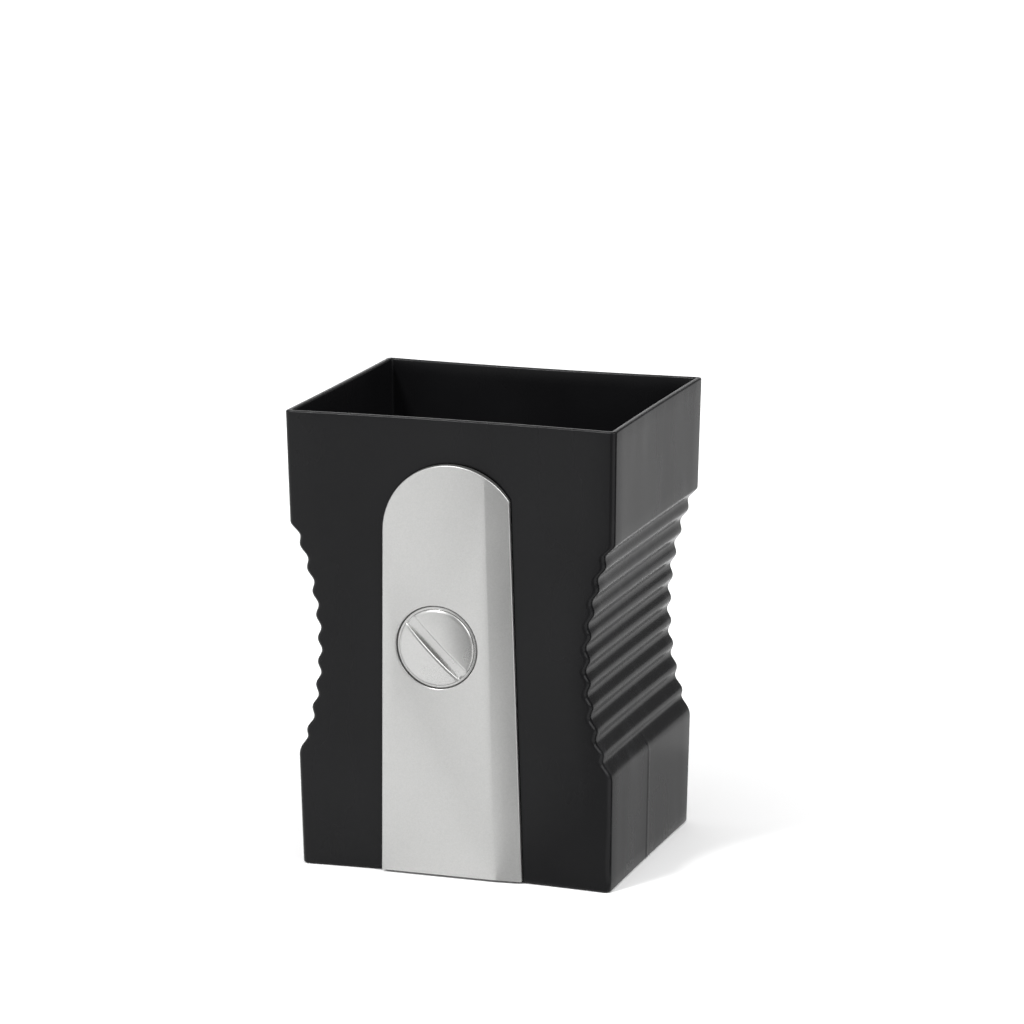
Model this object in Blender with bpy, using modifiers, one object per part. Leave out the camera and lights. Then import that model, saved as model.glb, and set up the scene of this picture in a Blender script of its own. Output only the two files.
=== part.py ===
"""Desk pencil holder in the shape of a giant block pencil sharpener.

A black ribbed, waisted cup, a floor plate pressed into its open underside, a silver blade plate
bonded into a shallow recess in the front, and a slotted dummy screw head set into that plate.
Nothing moves. Run with: blender --background --python part.py

X is the width, Y the depth with the front at -Y, and Z is up. The origin is at the middle of the
underside, so the holder stands on the XY plane. All sizes are in metres.
"""

import math

import bmesh
import bpy
from mathutils import Vector

GAP = 0.0003  # clearance between neighbouring pieces

# Cup: overall box, and how far its walls lean in from the rim to the foot
HEIGHT = 0.105
RIM_WIDTH = 0.0769
RIM_DEPTH = 0.0664
SIDE_DRAFT = 0.0019
FACE_DRAFT = 0.0031
CORNER_RADIUS = 0.0013
INNER_RADIUS = 0.0006
RIM_WALL = 0.0014
FOOT_WALL = 0.0022
SIDE_BOW = 0.0002  # how far the left and right walls dish inwards at mid-span
FACE_BOW = 0.0014  # the same for the front and back walls

# Ribbed waist on the left and right walls
WAIST_Z = 0.0530
WAIST_INSET = 0.00595
WAIST_RADIUS = 0.0665
RIB_PITCH = 0.0053
RIB_SWING = 0.00047  # half the height of a rib
RIBBED_ABOVE = 0.0234  # the ribs reach this far above the waist
RIBBED_BELOW = 0.0229  # and this far below it
SHOULDER_ABOVE = 0.02665  # where the rounded shoulders meet the flat walls
SHOULDER_BELOW = 0.0281
EASE_ABOVE = 1.0  # how gently each shoulder runs out into its flat wall
EASE_BELOW = 1.5

# Floor plate and the step in the cup that it seats against
FLOOR_THICKNESS = 0.0022
SEAT_STEP = 0.0007

# Blade plate, measured on the leaning plane of the front face: across, up the face, outwards
ARCH_RADIUS = 0.01605
ARCH_CENTRE = (0.00035, 0.0791)
ARCH_START = math.radians(180)
ARCH_END = math.radians(33)
FOOT_LEFT = -0.01725
FOOT_RIGHT = 0.0158
PLATE_FOOT = 0.0003  # the plate stops this far above the table
PLATE_FRONT = 0.0003
PLATE_THICKNESS = 0.0018
EDGE_LINE_TOP = (0.0083, 0.0930)  # where the ground edge of the blade begins
EDGE_LINE_FOOT = (0.00975, 0.0)
EDGE_DROP = 0.0006  # how far the ground edge falls towards the right side of the plate

# Dummy screw head and its counterbore in the blade plate
SCREW_CENTRE = (-0.00335, 0.0534)
COUNTERBORE_RADIUS = 0.0095
COUNTERBORE_DEPTH = 0.0009
FLANGE_THICKNESS = 0.0002  # a thin flange round the foot of the head
HEAD_RADIUS = 0.0088
HEAD_EDGE = 0.0007  # height of the head's rounded edge above the flange
HEAD_EDGE_ROUND = 0.0018  # how far the rounding reaches inwards
HEAD_DOME = 0.0006
SPIGOT_RADIUS = 0.0030
SPIGOT_LENGTH = 0.0009
SLOT_WIDTH = 0.0025
SLOT_FOOT_WIDTH = 0.0021
SLOT_FLOOR = 0.00025  # what is left of the head under the slot
SLOT_ANGLE = math.radians(-45)

# Mesh fineness
CORNER_STEPS = 4
SPAN_STEPS = 4
RIB_STEPS = 8
SHOULDER_STEPS = 4
INNER_STEPS = 12
ARCH_STEPS = 24
DOME_STEPS = 5
EDGE_STEPS = 4
ROUND_STEPS = 48


def clear_scene():
    for thing in list(bpy.data.objects):
        bpy.data.objects.remove(thing, do_unlink=True)


def new_collection(name):
    collection = bpy.data.collections.new(name)
    bpy.context.scene.collection.children.link(collection)
    return collection


def material(name, colour, roughness, metallic):
    made = bpy.data.materials.new(name)
    made.use_nodes = True
    shader = made.node_tree.nodes["Principled BSDF"]
    shader.inputs["Base Color"].default_value = (*colour, 1.0)
    shader.inputs["Roughness"].default_value = roughness
    shader.inputs["Metallic"].default_value = metallic
    made.diffuse_color = (*colour, 1.0)
    return made


def add_object(name, mesh, collection, parent=None):
    thing = bpy.data.objects.new(name, mesh)
    collection.objects.link(thing)
    thing.parent = parent
    return thing


def make_cutter(thing):
    thing.hide_render = True
    thing.display_type = "WIRE"
    return thing


def cut(thing, cutter):
    boolean = thing.modifiers.new(f"cut_{cutter.name}", "BOOLEAN")
    boolean.operation = "DIFFERENCE"
    boolean.solver = "EXACT"
    boolean.object = cutter


def finish(thing, finish_material, sharp_angle=35):
    thing.data.materials.clear()
    thing.data.materials.append(finish_material)
    thing.data.shade_smooth()
    thing.data.set_sharp_from_angle(angle=math.radians(sharp_angle))


def spread(low, high, steps):
    return [low + (high - low) * i / steps for i in range(steps + 1)]


# ---- horizontal sections of the cup ---------------------------------------------------------


def waist_inset(z, ribbed):
    """How far the waist pulls a side wall in at this height, with or without its ribs."""
    off = abs(z - WAIST_Z)
    if z > WAIST_Z:
        ribbed_half, shoulder_half, ease = RIBBED_ABOVE, SHOULDER_ABOVE, EASE_ABOVE
    else:
        ribbed_half, shoulder_half, ease = RIBBED_BELOW, SHOULDER_BELOW, EASE_BELOW
    if off >= shoulder_half:
        return 0.0
    reach = min(off, ribbed_half)
    inset = WAIST_INSET - reach**2 / (2 * WAIST_RADIUS)
    if ribbed:
        inset -= RIB_SWING * math.cos(2 * math.pi * reach / RIB_PITCH)
    if off > ribbed_half:
        left = ((shoulder_half - off) / (shoulder_half - ribbed_half)) ** ease
        inset *= left * left * (3 - 2 * left)
    return inset


def wall_thickness(z):
    return FOOT_WALL + (RIM_WALL - FOOT_WALL) * z / HEIGHT


def half_sizes(z, inwards=0.0, ribbed=False):
    """Half the width and half the depth of the cup at a height, moved inwards by a distance."""
    lean = 1 - z / HEIGHT
    half_width = RIM_WIDTH / 2 - SIDE_DRAFT * lean - waist_inset(z, ribbed) - inwards
    half_depth = RIM_DEPTH / 2 - FACE_DRAFT * lean - inwards
    return half_width, half_depth


def section(z, half_width, half_depth, radius):
    """One ring of points: a rectangle with round corners, its sides dished a little inwards."""
    points = []
    for quarter, (sx, sy) in enumerate(((1, 1), (-1, 1), (-1, -1), (1, -1))):
        centre_x = sx * (half_width - radius)
        centre_y = sy * (half_depth - radius)
        for step in range(CORNER_STEPS + 1):
            angle = (quarter + step / CORNER_STEPS) * math.pi / 2
            x = centre_x + radius * math.cos(angle)
            points.append((x, centre_y + radius * math.sin(angle), z))
        for step in range(1, SPAN_STEPS):
            along = step / SPAN_STEPS
            dish = 4 * along * (1 - along)
            if sx == sy:
                x = centre_x * (1 - 2 * along)
                points.append((x, sy * (half_depth - FACE_BOW * dish), z))
            else:
                y = centre_y * (1 - 2 * along)
                points.append((sx * (half_width - SIDE_BOW * dish), y, z))
    return points


def add_rings(bm, rings):
    return [[bm.verts.new(point) for point in ring] for ring in rings]


def join_rings(bm, lower, upper):
    count = len(lower)
    for i in range(count):
        j = (i + 1) % count
        bm.faces.new((lower[i], lower[j], upper[j], upper[i]))


def mesh_from(bm, name):
    bmesh.ops.recalc_face_normals(bm, faces=bm.faces)
    mesh = bpy.data.meshes.new(name)
    bm.to_mesh(mesh)
    bm.free()
    return mesh


# ---- shapes on the blade plate --------------------------------------------------------------


def plate_outline(grow, foot):
    """The blade's arched outline, grown all round, with its straight foot at this height."""
    start = (FOOT_LEFT - grow, foot)
    end = (FOOT_RIGHT + grow, foot)
    arch = []
    for step in range(ARCH_STEPS + 1):
        angle = ARCH_START + (ARCH_END - ARCH_START) * step / ARCH_STEPS
        x = ARCH_CENTRE[0] + (ARCH_RADIUS + grow) * math.cos(angle)
        arch.append((x, ARCH_CENTRE[1] + (ARCH_RADIUS + grow) * math.sin(angle)))
    return [start, *arch, end]


def slab(name, outline, back, front):
    """A flat outline made solid between two planes, as a mesh."""
    curve = bpy.data.curves.new(name, "CURVE")
    curve.dimensions = "2D"
    curve.fill_mode = "BOTH"
    curve.extrude = (front - back) / 2
    spline = curve.splines.new("POLY")
    spline.points.add(len(outline) - 1)
    for point, (x, y) in zip(spline.points, outline):
        point.co = (x, y, 0.0, 1.0)
    spline.use_cyclic_u = True
    guide = bpy.data.objects.new(f"{name}_outline", curve)
    bpy.context.scene.collection.objects.link(guide)
    graph = bpy.context.evaluated_depsgraph_get()
    mesh = bpy.data.meshes.new_from_object(guide.evaluated_get(graph))
    bpy.data.objects.remove(guide, do_unlink=True)
    bm = bmesh.new()
    bm.from_mesh(mesh)
    bpy.data.meshes.remove(mesh)
    bmesh.ops.remove_doubles(bm, verts=bm.verts, dist=1e-6)
    bmesh.ops.translate(bm, verts=bm.verts, vec=(0, 0, (front + back) / 2))
    return mesh_from(bm, name)


def grind_edge(mesh):
    """Cuts the sloping ground edge along the right side of the blade."""
    top = Vector((*EDGE_LINE_TOP, PLATE_FRONT))
    foot = Vector((*EDGE_LINE_FOOT, PLATE_FRONT))
    low = Vector((FOOT_RIGHT, 0.0, PLATE_FRONT - EDGE_DROP))
    normal = (foot - top).cross(low - foot).normalized()
    if normal.z < 0:
        normal.negate()
    bm = bmesh.new()
    bm.from_mesh(mesh)
    geometry = [*bm.verts, *bm.edges, *bm.faces]
    bmesh.ops.bisect_plane(bm, geom=geometry, plane_co=foot, plane_no=normal, clear_outer=True)
    bmesh.ops.holes_fill(bm, edges=[edge for edge in bm.edges if edge.is_boundary])
    bm.to_mesh(mesh)
    bm.free()


def turned(name, profile, collection, parent):
    """A solid of revolution about Z, from a profile that runs down its outer side."""
    bm = bmesh.new()
    verts = [bm.verts.new((radius, 0.0, z)) for radius, z in profile]
    for first, second in zip(verts, verts[1:]):
        bm.edges.new((first, second))
    mesh = bpy.data.meshes.new(name)
    bm.to_mesh(mesh)
    bm.free()
    thing = add_object(name, mesh, collection, parent)
    screw = thing.modifiers.new("turn", "SCREW")
    screw.angle = 2 * math.pi
    screw.steps = ROUND_STEPS
    screw.render_steps = ROUND_STEPS
    screw.use_merge_vertices = True
    screw.merge_threshold = 1e-6
    return thing


def head_profile():
    """Half of the screw head's section, from the top of its dome down to the end of its spigot."""
    flat_radius = HEAD_RADIUS - HEAD_EDGE_ROUND
    radii_and_edges = [(flat_radius * step / DOME_STEPS, 1.0) for step in range(DOME_STEPS)]
    for angle in spread(0.0, math.pi / 2, EDGE_STEPS):
        radii_and_edges.append((flat_radius + HEAD_EDGE_ROUND * math.sin(angle), math.cos(angle)))
    profile = []
    for radius, edge in radii_and_edges:
        dome = HEAD_DOME * (1 - (radius / HEAD_RADIUS) ** 2)
        profile.append((radius, FLANGE_THICKNESS + HEAD_EDGE * edge + dome))
    flange_radius = COUNTERBORE_RADIUS - GAP
    profile += [(flange_radius, FLANGE_THICKNESS), (flange_radius, 0.0), (SPIGOT_RADIUS, 0.0)]
    profile += [(SPIGOT_RADIUS, -SPIGOT_LENGTH), (0.0, -SPIGOT_LENGTH)]
    return profile


def slot_mesh():
    """A long wedge as the slot's cutter, standing on the slot's floor and wider towards the top."""
    depth = FLANGE_THICKNESS + HEAD_EDGE + HEAD_DOME - SLOT_FLOOR
    bm = bmesh.new()
    bmesh.ops.create_cube(bm, size=1.0)
    for vert in bm.verts:
        x, y, z = vert.co
        if z > 0:
            vert.co = (4 * HEAD_RADIUS * x, (2 * SLOT_WIDTH - SLOT_FOOT_WIDTH) * y, 2 * depth)
        else:
            vert.co = (4 * HEAD_RADIUS * x, SLOT_FOOT_WIDTH * y, 0.0)
    return mesh_from(bm, "screw_slot")


# ---- the pieces -----------------------------------------------------------------------------


def make_cup_body(collection, finish_material):
    """The moulded shell: up its ribbed outside, over the rim, and down its smooth inside."""
    waist_low, waist_high = WAIST_Z - RIBBED_BELOW, WAIST_Z + RIBBED_ABOVE
    foot_shoulder, rim_shoulder = WAIST_Z - SHOULDER_BELOW, WAIST_Z + SHOULDER_ABOVE
    rib_count = round((waist_high - waist_low) / RIB_PITCH * RIB_STEPS)
    seat_z = FLOOR_THICKNESS + GAP
    outer_heights = [0.0, *spread(foot_shoulder, waist_low, SHOULDER_STEPS)[:-1]]
    outer_heights += spread(waist_low, waist_high, rib_count)
    outer_heights += [*spread(waist_high, rim_shoulder, SHOULDER_STEPS)[1:], HEIGHT]
    inner_heights = [seat_z, *spread(foot_shoulder, waist_low, SHOULDER_STEPS)[:-1]]
    inner_heights += spread(waist_low, waist_high, INNER_STEPS)
    inner_heights += [*spread(waist_high, rim_shoulder, SHOULDER_STEPS)[1:], HEIGHT]
    rings = [section(z, *half_sizes(z, ribbed=True), CORNER_RADIUS) for z in outer_heights]
    for z in reversed(inner_heights):
        rings.append(section(z, *half_sizes(z, wall_thickness(z)), INNER_RADIUS))
    for z in (seat_z, 0.0):
        rings.append(section(z, *half_sizes(z, wall_thickness(z) - SEAT_STEP), INNER_RADIUS))
    bm = bmesh.new()
    rings = add_rings(bm, rings)
    for lower, upper in zip(rings, rings[1:] + rings[:1]):
        join_rings(bm, lower, upper)
    body = add_object("cup_body", mesh_from(bm, "cup_body"), collection)
    finish(body, finish_material)
    return body


def make_base_plate(collection, finish_material):
    """The separate floor, which seats against the step inside the foot of the cup."""
    rings = []
    for z in (0.0, FLOOR_THICKNESS):
        inwards = wall_thickness(z) - SEAT_STEP + GAP
        rings.append(section(z, *half_sizes(z, inwards), INNER_RADIUS))
    bm = bmesh.new()
    lower, upper = add_rings(bm, rings)
    join_rings(bm, lower, upper)
    bm.faces.new(lower)
    bm.faces.new(upper)
    base = add_object("base_plate", mesh_from(bm, "base_plate"), collection)
    finish(base, finish_material)
    return base


def make_face_frame(collection):
    """An empty on the leaning front face: X across, Y up the face, Z out towards the front."""
    frame = bpy.data.objects.new("front_face_frame", None)
    collection.objects.link(frame)
    frame.location = (0.0, FACE_DRAFT - RIM_DEPTH / 2, 0.0)
    frame.rotation_euler = (math.pi / 2 + math.atan2(FACE_DRAFT, HEIGHT), 0.0, 0.0)
    return frame


def make_blade_recess(body, cutters, face):
    """The shallow pocket in the front wall that the blade plate is bonded into."""
    floor = PLATE_FRONT - PLATE_THICKNESS - GAP
    clear_of_face = 0.005
    mesh = slab("blade_recess", plate_outline(GAP, -clear_of_face), floor, clear_of_face)
    cut(body, make_cutter(add_object("blade_recess", mesh, cutters, face)))


def make_blade_plate(collection, cutters, face, finish_material):
    """The silver plate, with its ground edge and the counterbore for the screw head."""
    mesh = slab("blade_plate", plate_outline(0.0, PLATE_FOOT), PLATE_FRONT - PLATE_THICKNESS, PLATE_FRONT)
    grind_edge(mesh)
    plate = add_object("blade_plate", mesh, collection, face)
    clear_of_plate = 0.002
    bore = SPIGOT_RADIUS + GAP
    profile = [(0.0, clear_of_plate), (COUNTERBORE_RADIUS, clear_of_plate)]
    profile += [(COUNTERBORE_RADIUS, -COUNTERBORE_DEPTH), (bore, -COUNTERBORE_DEPTH)]
    profile += [(bore, -PLATE_THICKNESS - clear_of_plate), (0.0, -PLATE_THICKNESS - clear_of_plate)]
    seat = make_cutter(turned("screw_seat", profile, cutters, face))
    seat.location = (*SCREW_CENTRE, PLATE_FRONT)
    cut(plate, seat)
    finish(plate, finish_material)
    return plate


def make_screw_head(collection, cutters, face, finish_material):
    """The domed dummy screw head, slotted right across, on a short spigot."""
    head = turned("screw_head", head_profile(), collection, face)
    head.location = (*SCREW_CENTRE, PLATE_FRONT - COUNTERBORE_DEPTH + GAP)
    slot = make_cutter(add_object("screw_slot", slot_mesh(), cutters, face))
    slot.location = head.location + Vector((0.0, 0.0, SLOT_FLOOR))
    slot.rotation_euler.z = SLOT_ANGLE
    cut(head, slot)
    finish(head, finish_material)
    return head


def main():
    clear_scene()
    parts = new_collection("pencil_holder")
    cutters = new_collection("cutters")
    black = material("black_plastic", (0.012, 0.012, 0.013), 0.38, 0.0)
    black_floor = material("black_floor_plastic", (0.010, 0.010, 0.011), 0.5, 0.0)
    silver = material("silver_paint", (0.55, 0.55, 0.54), 0.36, 0.85)
    silver_head = material("silver_head_paint", (0.58, 0.58, 0.57), 0.30, 0.85)
    face = make_face_frame(parts)
    body = make_cup_body(parts, black)
    make_blade_recess(body, cutters, face)
    make_base_plate(parts, black_floor)
    make_blade_plate(parts, cutters, face, silver)
    make_screw_head(parts, cutters, face, silver_head)


main()
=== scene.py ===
"""Looks for a desk pencil holder in the shape of a giant block pencil sharpener.

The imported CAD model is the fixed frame. Each of its four pieces is replaced by a finer mesh of the
same size and place, with rounded edges and mould marks, in moulded black plastic or silver paint.
Metres, +Z up, with the front of the holder at -Y.
"""

import math

import bmesh
import bpy
from mathutils import Matrix, Vector


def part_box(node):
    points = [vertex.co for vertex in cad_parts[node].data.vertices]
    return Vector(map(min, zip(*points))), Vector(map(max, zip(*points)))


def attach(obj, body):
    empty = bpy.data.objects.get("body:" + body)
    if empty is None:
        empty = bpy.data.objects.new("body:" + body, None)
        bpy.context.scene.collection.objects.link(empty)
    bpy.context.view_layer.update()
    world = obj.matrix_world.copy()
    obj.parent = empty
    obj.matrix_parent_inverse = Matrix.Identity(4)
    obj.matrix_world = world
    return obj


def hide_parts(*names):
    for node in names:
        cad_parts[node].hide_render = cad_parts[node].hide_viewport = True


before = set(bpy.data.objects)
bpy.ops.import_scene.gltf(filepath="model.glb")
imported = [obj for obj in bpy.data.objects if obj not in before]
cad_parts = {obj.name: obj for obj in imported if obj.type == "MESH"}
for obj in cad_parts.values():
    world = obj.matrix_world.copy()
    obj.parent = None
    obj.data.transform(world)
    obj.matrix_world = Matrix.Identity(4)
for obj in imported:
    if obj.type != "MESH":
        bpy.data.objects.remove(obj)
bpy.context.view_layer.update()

# ---- sizes taken from the frame -------------------------------------------------------------

CUP_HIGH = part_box("cup_body")[1]
FLOOR_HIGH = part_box("base_plate")[1]
HEIGHT = CUP_HIGH.z
HALF_RIM_WIDTH = CUP_HIGH.x
HALF_RIM_DEPTH = CUP_HIGH.y
FLOOR_THICKNESS = FLOOR_HIGH.z

# ---- sizes of the design, as in the CAD -----------------------------------------------------

GAP = 0.0003  # clearance between neighbouring pieces
SIDE_DRAFT = 0.0019
FACE_DRAFT = 0.0031
CORNER_RADIUS = 0.0013
INNER_RADIUS = 0.0006
RIM_WALL = 0.0014
FOOT_WALL = 0.0022
SIDE_BOW = 0.0002  # how far the left and right walls dish inwards at mid-span
FACE_BOW = 0.0014  # the same for the front and back walls

WAIST_Z = 0.0530
WAIST_INSET = 0.00595
WAIST_RADIUS = 0.0665
RIB_PITCH = 0.0053
RIB_SWING = 0.00047  # half the height of a rib
RIBBED_ABOVE = 0.0234  # the ribs reach this far above the waist
RIBBED_BELOW = 0.0229  # and this far below it
SHOULDER_ABOVE = 0.02665  # where the rounded shoulders meet the flat walls
SHOULDER_BELOW = 0.0281
EASE_ABOVE = 1.0  # how gently each shoulder runs out into its flat wall
EASE_BELOW = 1.5
RIBS_HIGH = WAIST_Z + SHOULDER_ABOVE
RIBS_LOW = WAIST_Z - SHOULDER_BELOW
SEAT_STEP = 0.0007  # how far the wall steps back to seat the floor plate

ARCH_RADIUS = 0.01605
ARCH_CENTRE = (0.00035, 0.0791)
ARCH_START = math.radians(180)
ARCH_END = math.radians(33)
FOOT_LEFT = -0.01725
FOOT_RIGHT = 0.0158
PLATE_FOOT = 0.0003  # the plate stops this far above the table
PLATE_FRONT = 0.0003
PLATE_THICKNESS = 0.0018
EDGE_LINE_TOP = (0.0083, 0.0930)  # where the ground edge of the blade begins
EDGE_LINE_FOOT = (0.00975, 0.0)
EDGE_DROP = 0.0006  # how far it falls towards the right side of the plate

SCREW_CENTRE = (-0.00335, 0.0534)
COUNTERBORE_RADIUS = 0.0095
COUNTERBORE_DEPTH = 0.0009
FLANGE_TOP = 0.0005  # above the floor of the counterbore
HEAD_RADIUS = 0.0088
SLOT_WIDTH = 0.0025
SLOT_FOOT_WIDTH = 0.0021
SLOT_ANGLE = math.radians(-45)

# ---- fine detail that only the visual model has ---------------------------------------------

RIM_ROUND = 0.0004
FOOT_ROUND = 0.0004
SEAM_Y = -0.0019  # the mould's parting line runs a little in front of mid-depth
SEAM_HALF = 0.0006  # half its width
SEAM_HEIGHT = 0.00014
SEAM_FULL_Z = 0.024  # the parting line is full up to here, and gone at SEAM_END_Z
SEAM_END_Z = 0.030
FLOOR_ROUND = 0.0002
EJECTOR_RADIUS = 0.003
EJECTOR_DEPTH = 0.0002
EJECTOR_SPOT = (0.65, 0.62)  # where the marks are, as parts of the floor plate's half sizes
PLATE_ROUND = 0.0003
FLANGE_RADIUS = 0.0093
FLANGE_ROUND = 0.00005
BLANK_HEIGHT = 0.001  # the flat blank that the domed head is pressed from
HEAD_EDGE = 0.0005  # the head's edge is tighter and its dome fuller than in the CAD
HEAD_EDGE_ROUND = 0.0009  # how far the edge's rounding reaches inwards
HEAD_DOME = 0.0009
SLOT_STEP = 0.0001  # the slot's floor above the flange
SLOT_ROUND = 0.0007
STEP_ROUND = 0.00015  # how sharply the head's foot steps down to the flange
RECESS_CLEAR = 0.005  # how far the recess cutter reaches out of the front and under the foot
BORE_CLEAR = 0.002  # how far the counterbore cutter reaches out of the plate

# ---- mesh fineness --------------------------------------------------------------------------

CORNER_STEPS = 8
SPAN_STEPS = 12
EDGE_STEPS = 4
RIB_STEPS = 18  # for each rib's pitch
FLAT_STEPS = 8
ARCH_STEPS = 96
ROUND_STEPS = 128
DOME_STEPS = 24
CARD_STEPS = 8
MERGE_DISTANCE = 1e-6

# ---- heights in the studio ------------------------------------------------------------------

TABLE_DROP = 0.0002  # the table lies this far under the holder
CARD_LIFT = 0.0001  # a grey card lies this far above the holder's foot


def spread(low, high, steps):
    """Even values from low to high, with this many steps between them."""
    return [low + (high - low) * i / steps for i in range(steps + 1)]


def mesh_from(bm, name):
    bmesh.ops.recalc_face_normals(bm, faces=bm.faces)
    mesh = bpy.data.meshes.new(name)
    bm.to_mesh(mesh)
    bm.free()
    return mesh


def add_piece(name, mesh):
    piece = bpy.data.objects.new(name, mesh)
    bpy.context.scene.collection.objects.link(piece)
    return piece


def apply_modifiers(piece):
    """Applies the piece's modifiers to its mesh."""
    graph = bpy.context.evaluated_depsgraph_get()
    mesh = bpy.data.meshes.new_from_object(piece.evaluated_get(graph))
    piece.modifiers.clear()
    piece.data = mesh


def cut(piece, cutter):
    """Takes the cutter's shape out of the piece and removes the cutter."""
    boolean = piece.modifiers.new("cut", "BOOLEAN")
    boolean.operation = "DIFFERENCE"
    boolean.solver = "EXACT"
    boolean.object = cutter
    apply_modifiers(piece)
    bpy.data.objects.remove(cutter, do_unlink=True)


def round_edges(piece, width, segments, angle=30):
    """Rounds the edges that turn by more than this angle, in degrees."""
    bevel = piece.modifiers.new("round", "BEVEL")
    bevel.width = width
    bevel.segments = segments
    bevel.limit_method = "ANGLE"
    bevel.angle_limit = math.radians(angle)
    bevel.use_clamp_overlap = True
    apply_modifiers(piece)


def smooth(piece, angle=35):
    """Shades the piece smoothly, except where it turns by more than this angle, in degrees."""
    piece.data.shade_smooth()
    piece.data.set_sharp_from_angle(angle=math.radians(angle))


# ---- the cup's sections ---------------------------------------------------------------------


def waist_inset(z, ribbed):
    """How far the waist pulls a side wall in at this height, with or without its ribs."""
    off = abs(z - WAIST_Z)
    if z > WAIST_Z:
        ribbed_half, shoulder_half, ease = RIBBED_ABOVE, SHOULDER_ABOVE, EASE_ABOVE
    else:
        ribbed_half, shoulder_half, ease = RIBBED_BELOW, SHOULDER_BELOW, EASE_BELOW
    if off >= shoulder_half:
        return 0.0
    reach = min(off, ribbed_half)
    inset = WAIST_INSET - reach**2 / (2 * WAIST_RADIUS)
    if ribbed:
        inset -= RIB_SWING * math.cos(2 * math.pi * reach / RIB_PITCH)
    if off > ribbed_half:
        left = ((shoulder_half - off) / (shoulder_half - ribbed_half)) ** ease
        inset *= left * left * (3 - 2 * left)
    return inset


def seam_height(z):
    """The mould's parting line on the side walls, which fades out on the way up."""
    fade = (SEAM_END_Z - z) / (SEAM_END_Z - SEAM_FULL_Z)
    return SEAM_HEIGHT * min(1.0, max(0.0, fade))


def wall_thickness(z):
    return FOOT_WALL + (RIM_WALL - FOOT_WALL) * z / HEIGHT


def half_sizes(z, inwards, ribbed):
    """Half the width and half the depth of the cup at this height, moved inwards."""
    lean = 1 - z / HEIGHT
    half_width = HALF_RIM_WIDTH - SIDE_DRAFT * lean - waist_inset(z, ribbed) - inwards
    half_depth = HALF_RIM_DEPTH - FACE_DRAFT * lean - inwards
    return half_width, half_depth


def face_span(x, y, dished):
    """Points along a front or back wall, from one corner to the other, dished inwards."""
    for step in range(1, SPAN_STEPS):
        along = step / SPAN_STEPS
        yield x * (1 - 2 * along), y - math.copysign(dished * 4 * along * (1 - along), y)


def side_span(x, y, dished, seam):
    """Points along a side wall, dished inwards, with the mould's parting line near mid-depth."""
    places = [1 - 2 * step / SPAN_STEPS for step in range(1, SPAN_STEPS)]
    middle = len(places) // 2
    crest = SEAM_Y / y
    edge = SEAM_HALF / abs(y)
    places[middle : middle + 1] = [crest + edge * off for off in (2, 1, 0, -1, -2)]
    for place in places:
        height = seam if abs(place - crest) < edge / 2 else 0.0
        across = x - math.copysign(dished * (1 - place**2) - height, x)
        yield across, y * place


def section(z, inwards, radius, ribbed, seam=0.0):
    """One ring of points: a rectangle with round corners and dished sides.

    The points along the front and back are spaced over the smooth waist's width, so that the
    side walls' ribs don't ripple those faces.
    """
    half_width, half_depth = half_sizes(z, inwards, ribbed)
    smooth_x = half_sizes(z, inwards, False)[0] - radius
    points = []
    for quarter, (sx, sy) in enumerate(((1, 1), (-1, 1), (-1, -1), (1, -1))):
        centre_x = sx * (half_width - radius)
        centre_y = sy * (half_depth - radius)
        for step in range(CORNER_STEPS + 1):
            angle = (quarter + step / CORNER_STEPS) * math.pi / 2
            x = centre_x + radius * math.cos(angle)
            points.append((x, centre_y + radius * math.sin(angle), z))
        if sx == sy:
            span = face_span(sx * smooth_x, sy * half_depth, FACE_BOW)
        else:
            span = side_span(sx * half_width, centre_y, SIDE_BOW, seam)
        points += [(x, y, z) for x, y in span]
    return points


def stack(rings, closed):
    """Joins rings of points into a tube, or into a ring-shaped solid if closed."""
    bm = bmesh.new()
    rings = [[bm.verts.new(point) for point in ring] for ring in rings]
    following = rings[1:] + rings[:1] if closed else rings[1:]
    for lower, upper in zip(rings, following):
        for i in range(len(lower)):
            j = (i + 1) % len(lower)
            bm.faces.new((lower[i], lower[j], upper[j], upper[i]))
    if not closed:
        bm.faces.new(rings[0])
        bm.faces.new(rings[-1])
    return bm


# ---- shapes on the blade plate --------------------------------------------------------------


def face_matrix():
    """The leaning front face: X across, Y up the face, Z out towards the front."""
    lean = math.pi / 2 + math.atan2(FACE_DRAFT, HEIGHT)
    return Matrix.Translation((0, FACE_DRAFT - HALF_RIM_DEPTH, 0)) @ Matrix.Rotation(lean, 4, "X")


def plate_outline(grow, foot):
    """The plate's arched outline on the front face, grown outwards and cut off at its foot."""
    start = (FOOT_LEFT - grow, foot)
    end = (FOOT_RIGHT + grow, foot)
    radius = ARCH_RADIUS + grow
    arch = []
    for angle in spread(ARCH_START, ARCH_END, ARCH_STEPS):
        x = ARCH_CENTRE[0] + radius * math.cos(angle)
        arch.append((x, ARCH_CENTRE[1] + radius * math.sin(angle)))
    return [start, *arch, end]


def slab(outline, back, front):
    """A flat solid between two depths, with this outline."""
    bm = bmesh.new()
    face = bm.faces.new([bm.verts.new((x, y, back)) for x, y in outline])
    grown = bmesh.ops.extrude_face_region(bm, geom=[face])
    verts = [item for item in grown["geom"] if isinstance(item, bmesh.types.BMVert)]
    bmesh.ops.translate(bm, verts=verts, vec=(0, 0, front - back))
    return bm


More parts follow.
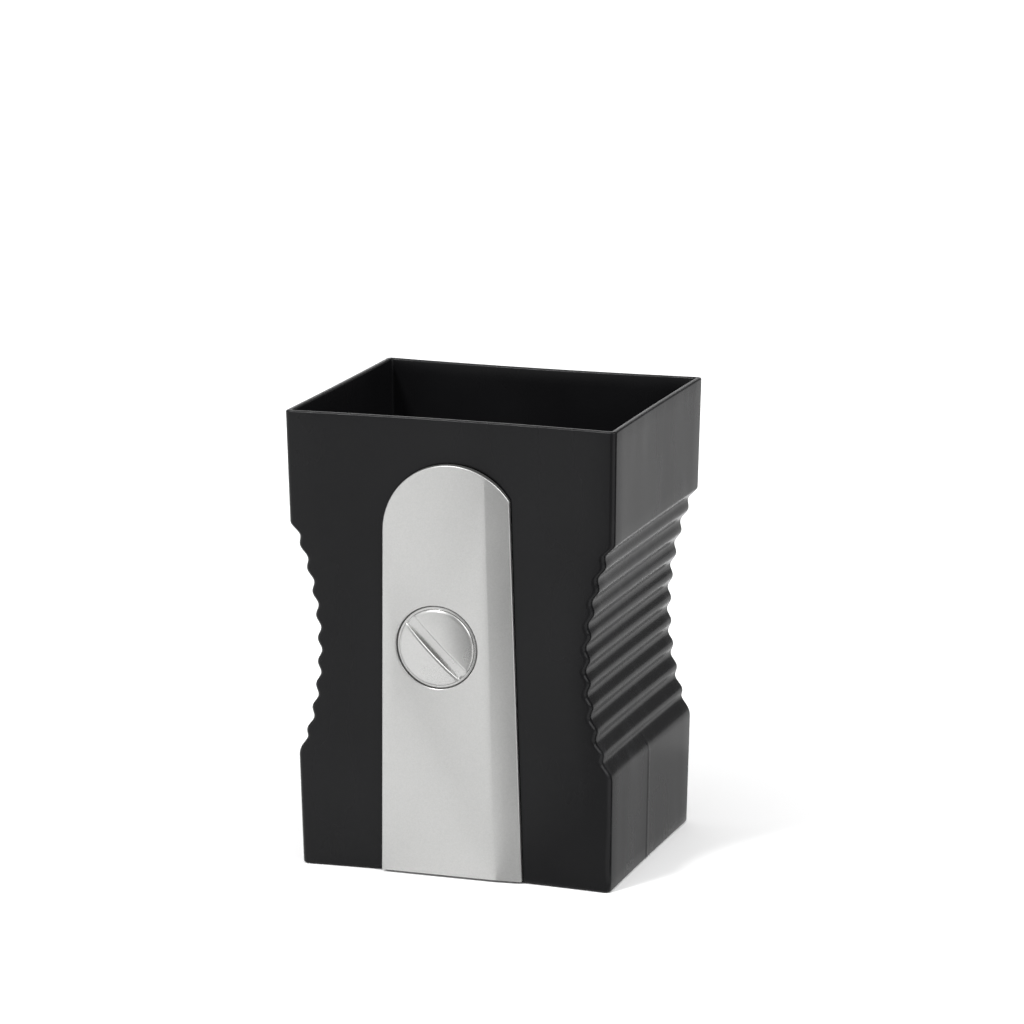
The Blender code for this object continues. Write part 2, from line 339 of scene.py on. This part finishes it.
def grind_edge(bm):
    """Cuts the sloping ground edge along the right side of the blade."""
    top = Vector((*EDGE_LINE_TOP, PLATE_FRONT))
    foot = Vector((*EDGE_LINE_FOOT, PLATE_FRONT))
    low = Vector((FOOT_RIGHT, 0.0, PLATE_FRONT - EDGE_DROP))
    normal = (foot - top).cross(low - foot).normalized()
    if normal.z < 0:
        normal.negate()
    geometry = [*bm.verts, *bm.edges, *bm.faces]
    bmesh.ops.bisect_plane(bm, geom=geometry, plane_co=foot, plane_no=normal, clear_outer=True)
    bmesh.ops.holes_fill(bm, edges=[edge for edge in bm.edges if edge.is_boundary])


def disc(radius, bottom, top):
    """A plain round cutter, centred on the screw."""
    bm = bmesh.new()
    bmesh.ops.create_cone(
        bm, cap_ends=True, segments=ROUND_STEPS, radius1=radius, radius2=radius, depth=top - bottom
    )
    bmesh.ops.translate(bm, verts=bm.verts, vec=(*SCREW_CENTRE, (top + bottom) / 2))
    return add_piece("cutter", mesh_from(bm, "cutter"))


# ---- the pieces -----------------------------------------------------------------------------


def wall_heights(foot, rim, rib_count):
    """Heights from the foot of a wall to its rim, with this many steps over the ribs."""
    heights = spread(foot, RIBS_LOW, FLAT_STEPS)
    heights += spread(RIBS_LOW, RIBS_HIGH, rib_count)[1:]
    heights += spread(RIBS_HIGH, rim, FLAT_STEPS)[1:]
    return heights


def outer_rings(rib_count):
    """The outside of the cup, from its rounded foot up to the top of its rounded rim."""
    rings = []
    for angle in spread(0, math.pi / 2, EDGE_STEPS):
        inwards = FOOT_ROUND * (1 - math.sin(angle))
        z = FOOT_ROUND * (1 - math.cos(angle))
        rings.append(section(z, inwards, CORNER_RADIUS - inwards, True, SEAM_HEIGHT))
    for z in wall_heights(FOOT_ROUND, HEIGHT - RIM_ROUND, rib_count)[1:]:
        rings.append(section(z, 0.0, CORNER_RADIUS, True, seam_height(z)))
    for angle in spread(0, math.pi / 2, EDGE_STEPS)[1:]:
        inwards = RIM_ROUND * (1 - math.cos(angle))
        z = HEIGHT - RIM_ROUND * (1 - math.sin(angle))
        rings.append(section(z, inwards, CORNER_RADIUS - inwards, True))
    return rings


def inner_rings(rib_count):
    """The inside of the cup, from the top of the rim down to the seat of the floor plate."""
    rings = []
    for angle in spread(0, math.pi / 2, EDGE_STEPS):
        inwards = RIM_WALL - RIM_ROUND * (1 - math.sin(angle))
        z = HEIGHT - RIM_ROUND * (1 - math.cos(angle))
        rings.append(section(z, inwards, INNER_RADIUS, False))
    seat_z = FLOOR_THICKNESS + GAP
    for z in reversed(wall_heights(seat_z, HEIGHT - RIM_ROUND, rib_count)[:-1]):
        rings.append(section(z, wall_thickness(z), INNER_RADIUS, False))
    for z in (seat_z, 0.0):
        rings.append(section(z, wall_thickness(z) - SEAT_STEP, INNER_RADIUS, False))
    return rings


def make_cup():
    """The moulded shell, with ribs and parting lines, and the blade plate's recess in its front."""
    rib_count = round((RIBS_HIGH - RIBS_LOW) / RIB_PITCH * RIB_STEPS)
    rings = outer_rings(rib_count) + inner_rings(rib_count // 4)
    cup = add_piece("cup_shell", mesh_from(stack(rings, closed=True), "cup_shell"))
    depth = PLATE_FRONT - PLATE_THICKNESS - GAP
    recess = mesh_from(slab(plate_outline(GAP, -RECESS_CLEAR), depth, RECESS_CLEAR), "cutter")
    recess.transform(face_matrix())
    cut(cup, add_piece("cutter", recess))
    smooth(cup, angle=40)
    return cup


def make_floor():
    """The floor plate, with a soft edge and the shallow round marks of four ejector pins."""
    rings = []
    high_edge = FLOOR_THICKNESS - FLOOR_ROUND
    for z in (0.0, FLOOR_ROUND, high_edge, FLOOR_THICKNESS):
        inwards = 0.0 if z in (FLOOR_ROUND, high_edge) else FLOOR_ROUND
        offset = wall_thickness(z) - SEAT_STEP + GAP + inwards
        rings.append(section(z, offset, INNER_RADIUS, False))
    floor = add_piece("floor_plate", mesh_from(stack(rings, closed=False), "floor_plate"))
    spot_x = EJECTOR_SPOT[0] * FLOOR_HIGH.x
    spot_y = EJECTOR_SPOT[1] * FLOOR_HIGH.y
    for x in (-spot_x, spot_x):
        for y in (-spot_y, spot_y):
            bm = bmesh.new()
            bmesh.ops.create_cone(
                bm, cap_ends=True, segments=ROUND_STEPS // 2, radius1=EJECTOR_RADIUS,
                radius2=EJECTOR_RADIUS, depth=2 * EJECTOR_DEPTH,
            )
            bmesh.ops.translate(bm, verts=bm.verts, vec=(x, y, 0))
            cut(floor, add_piece("cutter", mesh_from(bm, "cutter")))
    smooth(floor)
    return floor


def make_blade():
    """The silver plate: arched, ground along its right side, counterbored, edges rounded."""
    bm = slab(plate_outline(0.0, PLATE_FOOT), PLATE_FRONT - PLATE_THICKNESS, PLATE_FRONT)
    grind_edge(bm)
    blade = add_piece("silver_blade", mesh_from(bm, "silver_blade"))
    bore_floor = PLATE_FRONT - COUNTERBORE_DEPTH
    cut(blade, disc(COUNTERBORE_RADIUS, bore_floor, PLATE_FRONT + BORE_CLEAR))
    round_edges(blade, PLATE_ROUND, EDGE_STEPS)
    blade.data.transform(face_matrix())
    smooth(blade)
    return blade


def turned(name, profile):
    """A solid of revolution about Z, from a profile that starts and ends on the axis."""
    bm = bmesh.new()
    verts = [bm.verts.new((radius, 0.0, z)) for radius, z in profile]
    edges = [bm.edges.new(pair) for pair in zip(verts, verts[1:])]
    bmesh.ops.spin(
        bm, geom=[*verts, *edges], cent=(0, 0, 0), axis=(0, 0, 1), angle=2 * math.pi,
        steps=ROUND_STEPS, use_merge=True,
    )
    bmesh.ops.remove_doubles(bm, verts=bm.verts, dist=MERGE_DISTANCE)
    return add_piece(name, mesh_from(bm, name))


def head_radii():
    """Radii of the rings on the head, closer together towards its rounded edge."""
    flat_radius = HEAD_RADIUS - HEAD_EDGE_ROUND
    radii = spread(0.0, flat_radius, DOME_STEPS)[:-1]
    for angle in spread(0, math.pi / 2, DOME_STEPS):
        radii.append(flat_radius + HEAD_EDGE_ROUND * math.sin(angle))
    return radii


def slot_cutter():
    """A long bar with drafted sides that flare out into the slot's rounded upper edges."""
    rise = SLOT_ROUND / (HEAD_EDGE + HEAD_DOME) * BLANK_HEIGHT
    half = [(SLOT_FOOT_WIDTH / 2, 0.0)]
    for angle in spread(0.0, math.radians(85), 3 * EDGE_STEPS):
        across = SLOT_WIDTH / 2 + SLOT_ROUND * (1 - math.cos(angle))
        half.append((across, BLANK_HEIGHT - rise * (1 - math.sin(angle))))
    half.append((half[-1][0] + SLOT_ROUND / 10, 2 * BLANK_HEIGHT))
    outline = half + [(-across, z) for across, z in reversed(half)]
    radii = [radius for radius in head_radii() if radius > 0] + [2 * HEAD_RADIUS]
    bm = bmesh.new()
    rings = []
    for along in [-radius for radius in reversed(radii)] + [0.0] + radii:
        rings.append([bm.verts.new((along, across, z)) for across, z in outline])
    for first, second in zip(rings, rings[1:]):
        for i in range(len(outline)):
            j = (i + 1) % len(outline)
            bm.faces.new((first[i], first[j], second[j], second[i]))
    bm.faces.new(rings[0])
    bm.faces.new(rings[-1])
    bmesh.ops.rotate(bm, verts=bm.verts, cent=(0, 0, 0), matrix=Matrix.Rotation(SLOT_ANGLE, 3, "Z"))
    return add_piece("cutter", mesh_from(bm, "cutter"))


def rounded_edge(radius, width):
    """1 over the head, falling along a quarter ellipse to 0 over the last stretch to its edge."""
    into = max(0.0, radius - HEAD_RADIUS + width) / width
    return math.sqrt(max(0.0, 1 - into**2))


def press_dome(mesh):
    """Turns the slotted flat blank into the domed head; the flange below it stays as it is."""
    for vert in mesh.vertices:
        if vert.co.z < -SLOT_STEP / 2:
            continue
        radius = math.hypot(vert.co.x, vert.co.y)
        dome = HEAD_DOME * max(0.0, 1 - (radius / HEAD_RADIUS) ** 2)
        lift = HEAD_EDGE * rounded_edge(radius, HEAD_EDGE_ROUND) + dome
        step = SLOT_STEP * (1 - rounded_edge(radius, STEP_ROUND))
        vert.co.z = vert.co.z / BLANK_HEIGHT * lift - step


def make_screw():
    """The domed head with its slot, and the thin flange that it stands on in the counterbore."""
    flange_floor = -SLOT_STEP - FLANGE_TOP
    profile = [(radius, BLANK_HEIGHT) for radius in head_radii()]
    profile += [
        (HEAD_RADIUS, -SLOT_STEP),
        (FLANGE_RADIUS - FLANGE_ROUND, -SLOT_STEP),
        (FLANGE_RADIUS, -SLOT_STEP - FLANGE_ROUND),
        (FLANGE_RADIUS, flange_floor),
        (0.0, flange_floor),
    ]
    head = turned("slotted_screw", profile)
    cut(head, slot_cutter())
    press_dome(head.data)
    seat = Matrix.Translation((*SCREW_CENTRE, PLATE_FRONT - COUNTERBORE_DEPTH - flange_floor))
    head.data.transform(face_matrix() @ seat)
    smooth(head, angle=50)
    return head


# ---- materials ------------------------------------------------------------------------------


class Nodes:
    """A few short calls for building a material's node tree."""

    def __init__(self, name):
        self.material = bpy.data.materials.new(name)
        self.material.use_nodes = True
        self.tree = self.material.node_tree
        self.shader = self.tree.nodes["Principled BSDF"]
        coordinates = self.add("ShaderNodeTexCoord")
        self.place = coordinates.outputs["Object"]
        self.facing = coordinates.outputs["Normal"]

    def add(self, kind):
        return self.tree.nodes.new(kind)

    def link(self, source, target):
        self.tree.links.new(source, target)

    def set(self, socket, value):
        self.shader.inputs[socket].default_value = value

    def noise(self, scale, detail, stretch=(1, 1, 1)):
        mapping = self.add("ShaderNodeMapping")
        mapping.inputs["Scale"].default_value = stretch
        self.link(self.place, mapping.inputs["Vector"])
        texture = self.add("ShaderNodeTexNoise")
        texture.inputs["Scale"].default_value = scale
        texture.inputs["Detail"].default_value = detail
        self.link(mapping.outputs["Vector"], texture.inputs["Vector"])
        return texture.outputs["Fac"]

    def flakes(self, scale):
        texture = self.add("ShaderNodeTexVoronoi")
        texture.inputs["Scale"].default_value = scale
        self.link(self.place, texture.inputs["Vector"])
        return texture.outputs["Color"]

    def ranged(self, value, low, high, from_low=0.3, from_high=0.7):
        """Maps a value onto low to high; noise lies between 0.3 and 0.7 almost everywhere."""
        mapped = self.add("ShaderNodeMapRange")
        mapped.inputs["From Min"].default_value = from_low
        mapped.inputs["From Max"].default_value = from_high
        mapped.inputs["To Min"].default_value = low
        mapped.inputs["To Max"].default_value = high
        self.link(value, mapped.inputs["Value"])
        return mapped.outputs["Result"]

    def maths(self, operation, first, second):
        node = self.add("ShaderNodeMath")
        node.operation = operation
        self.link(first, node.inputs[0])
        self.link(second, node.inputs[1])
        return node.outputs["Value"]

    def across(self, vector):
        """The X part of a vector, which is positive towards the right."""
        parts = self.add("ShaderNodeSeparateXYZ")
        self.link(vector, parts.inputs["Vector"])
        return parts.outputs["X"]

    def outer_sides(self):
        """About 1 on the outside of the left and right walls, and 0 on their inside."""
        outwards = self.maths("MULTIPLY", self.across(self.facing), self.across(self.place))
        return self.ranged(outwards, 0, 1, from_low=0, from_high=0.9 * HALF_RIM_WIDTH)

    def mixed(self, value, first, second):
        """A colour between two; a value above 1 goes past the second."""
        mix = self.add("ShaderNodeMix")
        mix.data_type = "RGBA"
        mix.clamp_factor = False
        mix.inputs["A"].default_value = (*first, 1)
        mix.inputs["B"].default_value = (*second, 1)
        self.link(value, mix.inputs["Factor"])
        return mix.outputs["Result"]

    def bump(self, height, strength, distance):
        made = self.add("ShaderNodeBump")
        made.inputs["Strength"].default_value = strength
        made.inputs["Distance"].default_value = distance
        self.link(height, made.inputs["Height"])
        self.link(made.outputs["Normal"], self.shader.inputs["Normal"])


def black_plastic(name, dark, light, low_rough, high_rough, grain):
    """Moulded black plastic: flow marks, smudges, a fine grain, and sides rubbed by handling."""
    nodes = Nodes(name)
    streak = 0.05  # how much the flow marks add to the roughness
    flow = nodes.noise(scale=90, detail=3.0, stretch=(1, 1, 0.12))
    smudge = nodes.noise(scale=38, detail=4.0)
    scuffs = nodes.noise(scale=130, detail=6.0, stretch=(1, 1, 0.25))
    rubbed = nodes.ranged(scuffs, 0.0, 8.0, from_low=0.55, from_high=0.80)
    rubbed = nodes.maths("MULTIPLY", rubbed, nodes.outer_sides())
    worn = nodes.maths("ADD", nodes.ranged(smudge, 0, 1), rubbed)
    nodes.link(nodes.mixed(worn, dark, light), nodes.shader.inputs["Base Color"])
    dulled = nodes.ranged(smudge, low_rough, high_rough - streak)
    rough = nodes.maths("ADD", nodes.ranged(flow, 0.0, streak), dulled)
    nodes.link(rough, nodes.shader.inputs["Roughness"])
    nodes.set("Specular IOR Level", 0.13)
    nodes.bump(nodes.noise(scale=2600, detail=2.0), strength=grain, distance=0.00003)
    return nodes.material


def silver_paint(name, tone, rough):
    """Sprayed silver paint: tiny metal flakes that vary in tone and tilt, under a satin skin."""
    nodes = Nodes(name)
    flakes = nodes.flakes(scale=4200)
    cloud = nodes.noise(scale=55, detail=3.0)
    dull = tuple(0.93 * part for part in tone)
    bright = tuple(1.07 * part for part in tone)
    fleck = nodes.ranged(flakes, 0.0, 0.8, from_low=0, from_high=1)
    fleck = nodes.maths("ADD", fleck, nodes.ranged(cloud, 0.0, 0.2))
    nodes.link(nodes.mixed(fleck, dull, bright), nodes.shader.inputs["Base Color"])
    nodes.link(nodes.ranged(cloud, rough - 0.03, rough + 0.03), nodes.shader.inputs["Roughness"])
    nodes.set("Metallic", 0.9)
    nodes.bump(flakes, strength=0.05, distance=0.00004)
    return nodes.material


def dress(piece, material, node):
    """Gives the piece its material and puts it in the place of its CAD node."""
    piece.data.materials.clear()
    piece.data.materials.append(material)
    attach(piece, "root")
    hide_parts(node)


# ---- the studio -----------------------------------------------------------------------------


def direction(azimuth, elevation):
    """Towards a point this many degrees to the right of the front and above the table."""
    across, up = math.radians(azimuth), math.radians(elevation)
    return Vector((math.sin(across) * math.cos(up), -math.cos(across) * math.cos(up), math.sin(up)))


def make_camera():
    """A long lens, to the right of the front and a little above the rim."""
    towards_camera = direction(18.80, 12.73)
    roll = Matrix.Rotation(math.radians(-0.062), 4, "Z")
    aim = Vector((0.0147, -0.0329, 0.0857))
    distance = 1.022
    data = bpy.data.cameras.new("camera")
    data.lens = 164.35
    data.sensor_width = 36.0
    camera = bpy.data.objects.new("camera", data)
    bpy.context.scene.collection.objects.link(camera)
    level = (-towards_camera).to_track_quat("-Z", "Y").to_matrix().to_4x4()
    camera.matrix_world = Matrix.Translation(aim + distance * towards_camera) @ level @ roll
    bpy.context.scene.camera = camera


def add_light(name, data, place):
    """A light at a place, facing the middle of the holder."""
    light = bpy.data.objects.new(name, data)
    bpy.context.scene.collection.objects.link(light)
    light.location = place
    towards = Vector((0, 0, HEIGHT / 2)) - Vector(place)
    light.rotation_euler = towards.to_track_quat("-Z", "Y").to_euler()


def make_sun(name, azimuth, elevation, across, strength):
    """A round, even light, very far away and this many degrees across."""
    data = bpy.data.lights.new(name, "SUN")
    data.angle = math.radians(across)
    data.energy = strength
    add_light(name, data, direction(azimuth, elevation))


def make_softbox(name, azimuth, elevation, width, height, glow):
    """A flat light panel a metre away, as bright all over as a white card that glows this much."""
    data = bpy.data.lights.new(name, "AREA")
    data.shape = "RECTANGLE"
    data.size = width
    data.size_y = height
    data.energy = glow * math.pi * width * height
    add_light(name, data, direction(azimuth, elevation))


def make_card(name, foot, left, right, near, far, high, glow):
    """A grey card that only reflections see, lying on the table.

    It covers the directions from left to right, in degrees, and the distances from near to far,
    both measured from its foot. If high is more than 0, it folds up that far at its far end.
    """
    outline = [(near, 0.0), (far, 0.0)]
    if high > 0:
        outline.append((far, high))
    bm = bmesh.new()
    rows = []
    for reach, up in outline:
        row = []
        for azimuth in spread(left, right, CARD_STEPS):
            place = Vector(foot) + reach * direction(azimuth, 0)
            row.append(bm.verts.new((place.x, place.y, up + CARD_LIFT)))
        rows.append(row)
    for lower, upper in zip(rows, rows[1:]):
        for i in range(CARD_STEPS):
            bm.faces.new((lower[i], lower[i + 1], upper[i + 1], upper[i]))
    card = add_piece(name, mesh_from(bm, name))
    card.visible_camera = False
    card.visible_diffuse = False
    card.visible_shadow = False
    nodes = Nodes(name)
    nodes.set("Base Color", (0, 0, 0, 1))
    nodes.set("Specular IOR Level", 0.0)
    nodes.set("Emission Color", (1, 1, 1, 1))
    nodes.set("Emission Strength", glow)
    card.data.materials.append(nodes.material)


def make_table():
    """A round white table, far wider than the view."""
    bm = bmesh.new()
    bmesh.ops.create_circle(bm, cap_ends=True, segments=ROUND_STEPS, radius=4.0)
    table = add_piece("table", mesh_from(bm, "table"))
    nodes = Nodes("table_white")
    nodes.set("Base Color", (0.92, 0.92, 0.92, 1))
    nodes.set("Roughness", 0.7)
    nodes.set("Specular IOR Level", 0.2)
    table.data.materials.append(nodes.material)
    table.location.z = -TABLE_DROP


def make_world():
    """A weak, even white light from all round."""
    world = bpy.data.worlds.new("studio")
    bpy.context.scene.world = world
    world.use_nodes = True
    background = world.node_tree.nodes["Background"]
    background.inputs["Color"].default_value = (1, 1, 1, 1)
    background.inputs["Strength"].default_value = 0.25


def make_pieces():
    """The four pieces in their materials, each in the place of its CAD node."""
    black = black_plastic(
        "black_plastic", dark=(0.0039, 0.0039, 0.0043), light=(0.0055, 0.0055, 0.0060),
        low_rough=0.22, high_rough=0.31, grain=0.2,
    )
    matt = black_plastic(
        "black_floor_plastic", dark=(0.006, 0.006, 0.006), light=(0.012, 0.012, 0.012),
        low_rough=0.48, high_rough=0.6, grain=0.4,
    )
    silver = silver_paint("silver_paint", tone=(0.39, 0.39, 0.384), rough=0.36)
    silver_head = silver_paint("silver_head_paint", tone=(0.40, 0.40, 0.394), rough=0.29)
    dress(make_cup(), black, "cup_body")
    dress(make_floor(), matt, "base_plate")
    dress(make_blade(), silver, "blade_plate")
    dress(make_screw(), silver_head, "screw_head")


def make_lights():
    """Light from above, panels on both sides of the front, and a low one behind for the rim."""
    make_sun("key", azimuth=-27, elevation=51, across=10, strength=2.0)
    make_sun("top", azimuth=0, elevation=88, across=60, strength=1.35)
    make_softbox("softbox_left", azimuth=-50, elevation=27, width=1.8, height=0.9, glow=1.15)
    make_softbox("softbox_right", azimuth=68, elevation=38, width=0.7, height=0.8, glow=4.5)
    make_softbox("softbox_back", azimuth=-161, elevation=12, width=0.8, height=0.25, glow=1.1)


def make_cards():
    """Painted reflections: greys for the reflections, where the white table alone would be too bright.

    The front cards start at the foot of the blade's ground edge, and paint shade into its reflection.
    The others start under the rim's nearest corner: a black one on the right, painted shade seen in
    the cup's round corner and along its parting line, and two pale ones behind, seen in the right
    wall; the near one is a painted shadow of the cup on the table.
    """
    front = (EDGE_LINE_FOOT[0], FACE_DRAFT - HALF_RIM_DEPTH, 0.0)
    corner = (HALF_RIM_WIDTH, -HALF_RIM_DEPTH, 0.0)
    make_card("card_front_near", front, left=-10, right=90, near=0.0, far=0.03, high=0.0, glow=0.80)
    make_card("card_front_middle", front, left=-10, right=45, near=0.03, far=0.12, high=0.0, glow=0.70)
    make_card("card_front_far", front, left=-10, right=45, near=0.12, far=0.35, high=0.25, glow=0.49)
    # painted shade: a black card seen only in reflections, in the cup's round corner and parting line
    make_card("card_right", corner, left=100, right=140, near=0.010, far=0.35, high=0.25, glow=0.02)
    # painted shadow: the cup's own shadow on the table behind it, seen only in reflections in the
    # right wall
    make_card("card_back_near", corner, left=141, right=181, near=0.0, far=0.12, high=0.0, glow=0.63)
    make_card("card_back_far", corner, left=141, right=181, near=0.12, far=3.90, high=0.0, glow=0.88)


def main():
    make_pieces()
    make_camera()
    make_table()
    make_world()
    make_lights()
    make_cards()
    bpy.context.scene.view_settings.view_transform = "Standard"


main()
